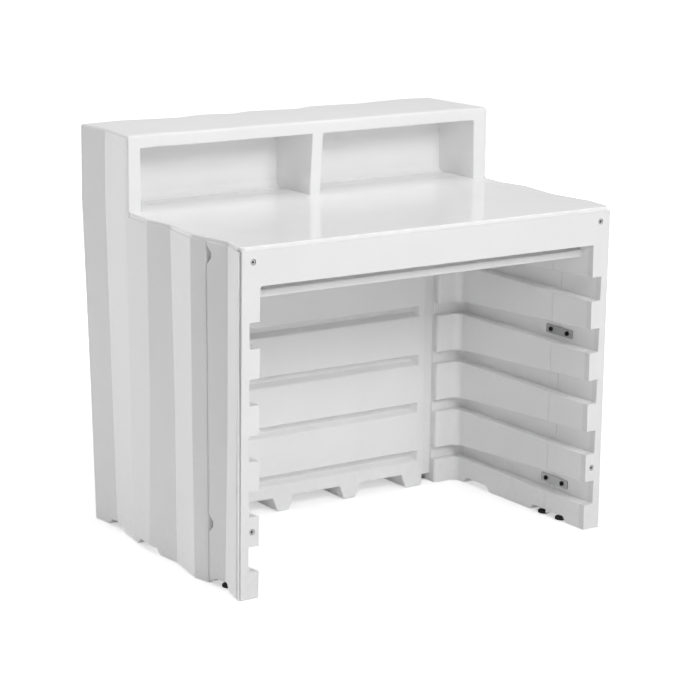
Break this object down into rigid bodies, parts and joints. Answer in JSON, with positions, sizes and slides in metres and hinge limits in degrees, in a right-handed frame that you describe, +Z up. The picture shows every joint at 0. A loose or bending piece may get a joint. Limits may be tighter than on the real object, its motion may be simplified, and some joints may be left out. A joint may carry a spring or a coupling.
{
  "type": "bar counter",
  "caption": "Free-standing moulded bar counter with pleated walls, a glossy worktop, a raised customer ledge with niches and shelf grooves inside.",
  "frame": {"origin": "on the floor under the middle of the counter's box", "axes": "+X to the right as seen by the staff looking at the open side, +Y towards the customers, +Z up"},
  "size_m": [1.1898, 0.83, 1.1],
  "materials": {
    "moulded_wall": "satin white moulded polyethylene",
    "frame_plastic": "satin white",
    "worktop_gloss": "glossy white",
    "plate_steel": "zinc plated sheet",
    "screw_steel": "plated",
    "insert_brass": "turned",
    "foot_rubber": "matte black"
  },
  "bodies": {
    "counter": {"customer_wall": "moulded_wall", "left_side_wall": "moulded_wall", "right_side_wall": "moulded_wall", "left_end_post": "moulded_wall", "right_end_post": "moulded_wall", "front_frame": "frame_plastic", "worktop": "worktop_gloss", "tie_bar": "frame_plastic", "joining_plate_screws": "screw_steel", "joining_plate_inserts": "insert_brass", "front_frame_screws": "screw_steel", "front_frame_inserts": "insert_brass", "worktop_screws": "screw_steel", "worktop_plugs": "worktop_gloss", "tie_bar_pins": "screw_steel", "wall_dowels": "frame_plastic", "foot_inserts": "insert_brass", "left_lower_joining_plate": "plate_steel", "left_upper_joining_plate": "plate_steel", "right_lower_joining_plate": "plate_steel", "right_upper_joining_plate": "plate_steel"},
    "left_front_foot": {"left_front_foot_pad": "foot_rubber", "left_front_foot_stem": "screw_steel"},
    "left_middle_foot": {"left_middle_foot_pad": "foot_rubber", "left_middle_foot_stem": "screw_steel"},
    "left_rear_foot": {"left_rear_foot_pad": "foot_rubber", "left_rear_foot_stem": "screw_steel"},
    "right_front_foot": {"right_front_foot_pad": "foot_rubber", "right_front_foot_stem": "screw_steel"},
    "right_middle_foot": {"right_middle_foot_pad": "foot_rubber", "right_middle_foot_stem": "screw_steel"},
    "right_rear_foot": {"right_rear_foot_pad": "foot_rubber", "right_rear_foot_stem": "screw_steel"}
  },
  "joints": [
    {"name": "left_front_foot_screw", "type": "slide", "parent": "counter", "child": "left_front_foot", "axis": [0, 0, -1], "range_m": [0, 0.012]},
    {"name": "left_middle_foot_screw", "type": "slide", "parent": "counter", "child": "left_middle_foot", "axis": [0, 0, -1], "range_m": [0, 0.012]},
    {"name": "left_rear_foot_screw", "type": "slide", "parent": "counter", "child": "left_rear_foot", "axis": [0, 0, -1], "range_m": [0, 0.012]},
    {"name": "right_front_foot_screw", "type": "slide", "parent": "counter", "child": "right_front_foot", "axis": [0, 0, -1], "range_m": [0, 0.012]},
    {"name": "right_middle_foot_screw", "type": "slide", "parent": "counter", "child": "right_middle_foot", "axis": [0, 0, -1], "range_m": [0, 0.012]},
    {"name": "right_rear_foot_screw", "type": "slide", "parent": "counter", "child": "right_rear_foot", "axis": [0, 0, -1], "range_m": [0, 0.012]}
  ]
}
